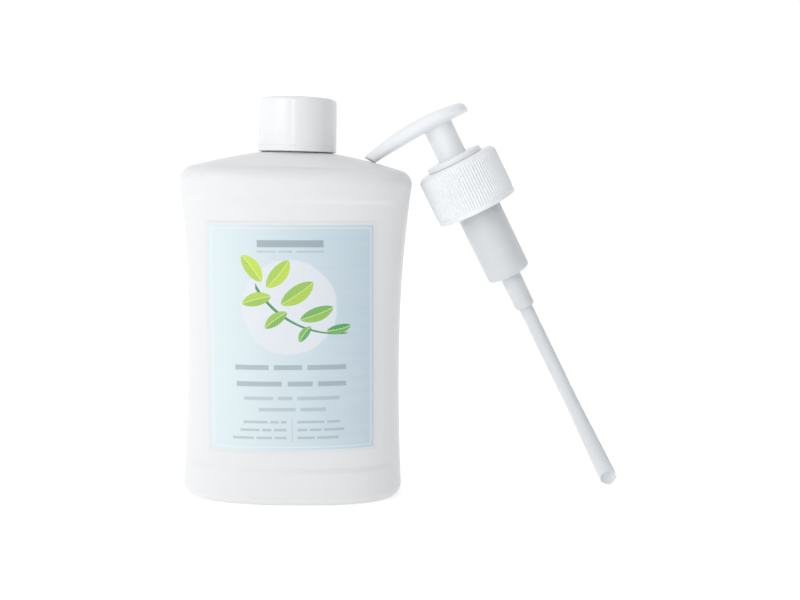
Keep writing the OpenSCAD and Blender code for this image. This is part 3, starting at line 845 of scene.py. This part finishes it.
def sprung_steel(name, scale):
    """Drawn stainless steel with fine streaks."""
    s = Surface(name)
    streak = s.noise(scale, 5, roughness=0.7)
    s.set(Base_Color=s.blend(streak, colour(0.5, 0.51, 0.53), colour(0.72, 0.73, 0.74)), Metallic=1.0)
    s.set(Roughness=s.scaled(streak, 0.16, 0.34))
    s.bump(streak, 0.006)
    return s.material


def liner_foam(name):
    """Pressed polyethylene foam: matt, with small closed cells."""
    s = Surface(name)
    cells = s.add("ShaderNodeTexVoronoi", feature="F1")
    s.put(cells.inputs["Vector"], s.place())
    cells.inputs["Scale"].default_value = 1400
    distance = cells.outputs["Distance"]
    cloud = s.noise(120, 3)
    s.set(Base_Color=s.blend(cloud, colour(0.66, 0.67, 0.68), colour(0.76, 0.76, 0.76)))
    s.set(Roughness=s.scaled(distance, 0.72, 0.9))
    s.bump(distance, 0.06)
    return s.material


def floor_surface(name):
    """Matt white studio paper with a faint glow, which keeps the ground white."""
    s = Surface(name)
    fibre = s.noise(300, 4)
    s.set(Base_Color=s.blend(fibre, colour(0.93, 0.93, 0.93), colour(0.96, 0.96, 0.96)))
    s.set(Roughness=s.scaled(fibre, 0.85, 0.95), Specular_IOR_Level=0.1)
    s.set(Emission_Color=colour(1, 1, 1), Emission_Strength=0.3)
    s.bump(fibre, 0.02)
    return s.material


# ---- Label print ----

# Rows of dashes: middle height, half height, strength of the ink, and the spans that are inked
TITLE_LINES = [
    (-11.0, 0.95, 0.52, [(-21.5, -8.6), (-6.6, 4.2), (6.2, 21.0)]),
    (-17.4, 0.95, 0.52, [(-21.0, -3.6), (-1.4, 8.2), (10.2, 21.0)]),
    (-23.0, 0.7, 0.34, [(-18.2, -7.0), (-5.2, 0.4), (2.2, 18.4)]),
    (-27.4, 0.7, 0.34, [(-12.6, 1.6), (3.4, 13.2)]),
]
SMALL_LINES = [
    (-32.3, 0.5, 0.4, [(-18.6, -9.2), (-8.2, -5.0), (-4.0, -2.0), (2.2, 12.6), (13.6, 18.6)]),
    (-35.4, 0.5, 0.4, [(-19.8, -12.4), (-11.4, -7.8), (-6.8, -2.0), (2.2, 6.0), (7.0, 11.4), (12.4, 20.2)]),
    (-38.5, 0.5, 0.4, [(-22.8, -14.6), (-13.6, -7.6), (-6.6, -2.0), (2.2, 8.8), (9.8, 18.0)]),
]
TOP_LINES = [
    (36.4, 1.35, 0.62, [(-12.6, 12.6)]),
    (33.4, 0.38, 0.3, [(-12.6, -5.4), (-4.4, 0.8), (2.4, 12.6)]),
]
# Leaves of the sprig: base u and v, direction in degrees, length, half width, how deep the green is
LEAVES = [
    (-11.0, 22.0, 128, 12.5, 2.9, 0.0),
    (-9.0, 19.6, 52, 13.5, 3.1, 0.1),
    (-7.4, 16.4, 196, 11.5, 2.6, 0.3),
    (-3.6, 13.2, 36, 15.0, 3.3, 0.35),
    (-1.4, 10.4, 218, 10.5, 2.3, 0.6),
    (3.6, 7.4, 22, 13.5, 2.7, 0.7),
    (7.6, 4.9, 236, 7.5, 1.7, 0.9),
    (13.6, 3.0, 14, 9.5, 1.8, 1.0),
]


INK = colour(0.17, 0.22, 0.26)


class Print(Surface):
    """A label surface whose masks are drawn in millimetres from the label's middle."""

    def __init__(self, name):
        super().__init__(name)
        place = self.add("ShaderNodeAttribute", attribute_name="print_mm")
        parts = self.add("ShaderNodeSeparateXYZ")
        self.put(parts.inputs[0], place.outputs["Vector"])
        self.vector = place.outputs["Vector"]
        self.u, self.v = parts.outputs["X"], parts.outputs["Y"]
        self.paint = colour(1, 1, 1)

    def away(self, value, middle):
        """How far a value lies from the middle, to either side."""
        return self.math("ABSOLUTE", self.math("SUBTRACT", value, middle))

    def block(self, middle_u, middle_v, half_u, half_v, soft=0.12):
        """1 inside a rectangle."""
        out_u = self.math("SUBTRACT", self.away(self.u, middle_u), half_u)
        out_v = self.math("SUBTRACT", self.away(self.v, middle_v), half_v)
        return self.soft_step(self.math("MAXIMUM", out_u, out_v), soft, -soft)

    def lay(self, mask, ink):
        """Prints ink over what is there already."""
        self.paint = self.blend(mask, self.paint, ink)

    def lines(self, rows, ink):
        """Rows of plain dashes where a label carries its text."""
        for middle_v, half_v, strength, words in rows:
            row = None
            for start, end in words:
                word = self.block((start + end) / 2, middle_v, (end - start) / 2, half_v)
                row = word if row is None else self.math("MAXIMUM", row, word)
            self.lay(self.math("MULTIPLY", row, strength), ink)

    def leaf(self, base_u, base_v, heading, length, half, depth):
        """One leaf with a fold, a midrib and side veins."""
        c, s = math.cos(math.radians(heading)), math.sin(math.radians(heading))
        du, dv = self.math("SUBTRACT", self.u, base_u), self.math("SUBTRACT", self.v, base_v)
        along = self.math("ADD", self.math("MULTIPLY", du, c / length), self.math("MULTIPLY", dv, s / length))
        across = self.math("ADD", self.math("MULTIPLY", du, -s), self.math("MULTIPLY", dv, c))
        curl = self.math("SINE", self.math("MULTIPLY", along, 2.6))
        across = self.math("ADD", across, self.math("MULTIPLY", curl, 0.5))
        rest = self.math("SUBTRACT", 1.0, along)
        inside = self.math("MAXIMUM", self.math("MULTIPLY", along, rest), 0.0)
        width = self.math("MULTIPLY", self.math("POWER", inside, 0.72), half * 2.7)
        offset = self.math("ABSOLUTE", across)
        mask = self.soft_step(self.math("SUBTRACT", width, offset), -0.1, 0.14)
        lime, green = colour(0.50, 0.66, 0.05), colour(0.02, 0.30, 0.10)
        far_half = self.soft_step(across, -0.25, 0.25)
        deepen = self.math("ADD", self.math("MULTIPLY", far_half, 0.22), depth * 0.75)
        body = self.blend(deepen, lime, green)
        slope = self.math("MULTIPLY", offset, 0.8)
        phase = self.math("SUBTRACT", self.math("MULTIPLY", along, length * 0.75), slope)
        vein = self.soft_step(self.away(self.math("FRACT", phase), 0.5), 0.14, 0.04)
        rib = self.soft_step(offset, 0.22, 0.08)
        lines = self.math("MAXIMUM", self.math("MULTIPLY", vein, 0.3), self.math("MULTIPLY", rib, 0.75))
        body = self.blend(lines, body, colour(0.68, 0.80, 0.36))
        self.lay(mask, body)

    def reach(self, middle_u, middle_v):
        """Distance from a point of the print."""
        du, dv = self.math("SUBTRACT", self.u, middle_u), self.math("SUBTRACT", self.v, middle_v)
        squares = self.math("ADD", self.math("MULTIPLY", du, du), self.math("MULTIPLY", dv, dv))
        return self.math("SQRT", squares)

    def stem(self):
        """The sprig's stem, an arc that thins towards its lower end."""
        radius = 36.0
        reach = self.reach(18.0, 38.0)
        half = self.scaled(self.soft_step(self.u, -14.0, 20.0), 0.55, 0.28)
        line = self.soft_step(self.math("SUBTRACT", self.away(reach, radius), half), 0.12, -0.12)
        ends = (self.soft_step(self.u, -13.6, -13.2), self.soft_step(self.u, 22.0, 20.6))
        span = self.math("MULTIPLY", *ends)
        below = self.soft_step(self.v, 26.5, 26.0)
        mask = self.math("MULTIPLY", self.math("MULTIPLY", line, span), below)
        self.lay(mask, colour(0.05, 0.28, 0.10))

    def disc(self, middle_u, middle_v, radius, ink, strength):
        """A round patch with a slightly wandering edge."""
        reach = self.reach(middle_u, middle_v)
        wander = self.scaled(self.noise(0.12, 2, self.vector), -0.7, 0.7)
        edge = self.soft_step(self.math("ADD", reach, wander), radius + 0.5, radius - 0.6)
        self.lay(self.math("MULTIPLY", edge, strength), ink)

    def ground(self):
        """Clear margin, pale blue wash with brushed streaks, and a white keyline."""
        margin_u, margin_v = LABEL_W / 2 - 1.2, LABEL_H / 2 - 1.2
        stretched = self.add("ShaderNodeMapping")
        self.put(stretched.inputs["Vector"], self.vector)
        stretched.inputs["Scale"].default_value = (0.03, 0.32, 1)
        streaks = self.noise(1.0, 5, stretched.outputs["Vector"], 0.6)
        mottle = self.noise(0.07, 4, self.vector)
        across = self.soft_step(self.math("ADD", self.u, self.math("MULTIPLY", self.v, 0.12)), -34, 34)
        wash = self.blend(across, colour(0.66, 0.745, 0.765), colour(0.475, 0.58, 0.655))
        wash = self.blend(self.scaled(streaks, -0.1, 0.35), wash, colour(0.66, 0.72, 0.76))
        wash = self.blend(self.scaled(mottle, -0.1, 0.25), wash, colour(0.60, 0.71, 0.76))
        self.paint = colour(0.70, 0.72, 0.735)
        self.lay(self.block(0, 0, margin_u, margin_v, 0.3), wash)
        outer = self.block(0, 0, margin_u - 0.9, margin_v - 0.9, 0.12)
        inner = self.block(0, 0, margin_u - 1.4, margin_v - 1.4, 0.12)
        self.lay(self.math("MULTIPLY", self.math("SUBTRACT", outer, inner), 0.45), colour(0.78, 0.82, 0.84))
        return streaks

    def finish_film(self, streaks):
        """Satin film: the gloss follows the wash's streaks a little, and a faint grain gives the relief."""
        grain = self.noise(0.25, 1, self.vector)
        self.set(Base_Color=self.paint, Roughness=self.scaled(streaks, 0.3, 0.44), IOR=1.5)
        self.bump(grain, 0.008)
        return self.material


def front_print():
    """The front label: a sprig over a pale disc, and dashes where the text would be."""
    p = Print("label_front_print")
    streaks = p.ground()
    p.disc(-0.5, 12.1, 18.2, colour(0.72, 0.735, 0.78), 0.8)
    p.stem()
    for leaf in LEAVES:
        p.leaf(*leaf)
    p.lines(TOP_LINES + TITLE_LINES + SMALL_LINES, INK)
    p.lay(p.math("MULTIPLY", p.block(0.2, -35.4, 0.12, 4.6), 0.4), INK)
    return p.finish_film(streaks)


def back_print():
    """The back label: three blocks of dashes."""
    p = Print("label_back_print")
    streaks = p.ground()
    p.lines(TOP_LINES, INK)
    left, row_step, full_end = -25.5, 2.7, 25.5
    for block_top, line_count in ((27.0, 6), (6.0, 5), (-12.0, 7)):
        for line in range(line_count):
            short = 19.0 if line == line_count - 1 else 7.0 * (line * 5 % 3)
            end = full_end - short
            first_end = left + (end - left) * 0.38
            words = [(left, first_end), (first_end + 1.2, end)]
            p.lines([(block_top - row_step * line, 0.48, 0.42, words)], INK)
    for rule_v in (10.2, -8.4):
        p.lay(p.math("MULTIPLY", p.block(0, rule_v, full_end, 0.1), 0.4), INK)
    return p.finish_film(streaks)


# ---- Assembly ----

def dress(piece, material):
    """Gives a piece one material."""
    piece.data.materials.clear()
    piece.data.materials.append(material)


def settle(piece, body, node, material):
    """Gives a new piece its material and body, and hides the CAD node that it stands for."""
    dress(piece, material)
    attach(piece, body)
    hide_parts(node)


bottle_white = moulded_plastic(
    "bottle_white", colour(0.74, 0.743, 0.745), colour(0.727, 0.731, 0.735), gloss=0.34, peel=0.012)
cap_white = moulded_plastic(
    "cap_white", colour(0.79, 0.795, 0.80), colour(0.775, 0.78, 0.786), gloss=0.19, peel=0.006)
pump_white = moulded_plastic(
    "pump_white", colour(0.82, 0.835, 0.855), colour(0.81, 0.826, 0.846), gloss=0.34, peel=0.004)
natural = moulded_plastic(
    "pump_natural", colour(0.70, 0.70, 0.67), colour(0.66, 0.66, 0.63), gloss=0.34, peel=0.01)
pump_clear = clear_plastic(
    "pump_clear", colour(0.90, 0.92, 0.94), colour(0.85, 0.875, 0.90), gloss=0.37, see_through=0.35)
spring_steel = sprung_steel("spring_steel", 700)
ball_steel = sprung_steel("ball_steel", 260)
foam = liner_foam("liner_foam")

settle(make_bottle(), "bottle", "bottle", bottle_white)
settle(make_label("label_front_film", -1, LABEL_SKEW), "bottle", "front_label", front_print())
settle(make_label("label_back_film", 1, 0.0), "bottle", "back_label", back_print())
settle(make_cap(), "cap", "screw_cap", cap_white)
settle(make_liner(), "liner", "cap_liner", foam)
settle(make_head(), "head", "actuator", pump_white)
settle(make_collar(), "pump_body", "lock_collar", pump_white)
settle(make_closure(), "closure", "closure_ring", pump_white)
settle(make_housing(), "pump_body", "pump_housing", pump_clear)
settle(make_tube(), "pump_body", "dip_tube", pump_clear)

spring = make_spring()
settle(spring, "pump_body", "return_spring", spring_steel)
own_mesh(spring)

# The hidden pieces keep their CAD shape
for node in ("stem", "valve_plug", "piston", "spring_seat"):
    dress(frame["nodes"][node], natural)
dress(frame["nodes"]["gasket"], foam)
dress(frame["nodes"]["inlet_ball"], ball_steel)


# ---- Stage, lights and camera ----

def make_floor():
    """A wide square of white paper at the height of the object's foot."""
    half = 4000
    corners = [(-half, -half, 0), (half, -half, 0), (half, half, 0), (-half, half, 0)]
    floor = new_object("studio_floor", corners, [[0, 1, 2, 3]])
    dress(floor, floor_surface("studio_paper"))


def make_light(name, place, target, width, height, power):
    """A white area light that looks at target: metres and watts."""
    data = bpy.data.lights.new(name, "AREA")
    data.shape = "RECTANGLE"
    data.size, data.size_y = width, height
    data.energy = power
    light = bpy.data.objects.new(name, data)
    light.location = place
    light.rotation_euler = (Vector(target) - Vector(place)).to_track_quat("-Z", "Y").to_euler()
    bpy.context.scene.collection.objects.link(light)


def make_world():
    """A bright studio whose front right side is darker than its back and left."""
    world = bpy.data.worlds.new("studio")
    world.use_nodes = True
    tree = world.node_tree
    sky = tree.nodes["Background"]
    place = tree.nodes.new("ShaderNodeTexCoord")
    parts = tree.nodes.new("ShaderNodeSeparateXYZ")
    tree.links.new(place.outputs["Generated"], parts.inputs[0])

    def step(value, low, high, to_low, to_high):
        node = tree.nodes.new("ShaderNodeMapRange")
        node.interpolation_type = "SMOOTHSTEP"
        tree.links.new(value, node.inputs["Value"])
        for name, item in (("From Min", low), ("From Max", high)):
            node.inputs[name].default_value = item
        for name, item in (("To Min", to_low), ("To Max", to_high)):
            if isinstance(item, bpy.types.NodeSocket):
                tree.links.new(item, node.inputs[name])
            else:
                node.inputs[name].default_value = item
        return node.outputs["Result"]

    left, right, back, overhead = 0.95, 0.08, 1.12, 0.86
    front = step(parts.outputs["X"], -0.8, 0.6, left, right)
    level = step(parts.outputs["Y"], 0.1, 0.6, front, back)
    strength = step(parts.outputs["Z"], 0.25, 0.7, level, overhead)
    tree.links.new(strength, sky.inputs["Strength"])
    sky.inputs["Color"].default_value = colour(0.985, 0.993, 1.0)
    bpy.context.scene.world = world


def make_camera():
    """Eye, turn, tilt and roll at the photograph's viewing angle, in metres and degrees."""
    eye = Vector((0.0265, -0.4042, 0.1247))
    yaw, pitch, roll = math.radians(2.22), math.radians(6.41), math.radians(1.41)
    ahead = Vector((math.sin(yaw) * math.cos(pitch), math.cos(yaw) * math.cos(pitch), -math.sin(pitch)))
    level = Vector((math.cos(yaw), -math.sin(yaw), 0))
    upright = level.cross(ahead)
    right = math.cos(roll) * level + math.sin(roll) * upright
    top = -math.sin(roll) * level + math.cos(roll) * upright
    data = bpy.data.cameras.new("camera")
    data.sensor_width = 36
    data.lens = 45.26
    data.clip_start, data.clip_end = 0.01, 20
    camera = bpy.data.objects.new("camera", data)
    basis = np.column_stack([right, top, -ahead, eye])
    camera.matrix_world = Matrix([*basis.tolist(), (0, 0, 0, 1)])
    bpy.context.scene.collection.objects.link(camera)
    bpy.context.scene.camera = camera


make_floor()
make_world()
middle = ((cad_low + cad_high) / 2)[:]
make_light("key", (-0.75, -0.75, 0.55), middle, 0.7, 0.7, 2.45)
make_light("strip", (-0.2, -1.2, 0.5), middle, 0.08, 0.7, 1.1)
make_light("low", (-0.35, -0.9, 0.02), (0.06, 0, 0.13), 0.5, 0.2, 0.7)
make_camera()
bpy.context.scene.view_settings.view_transform = "Standard"
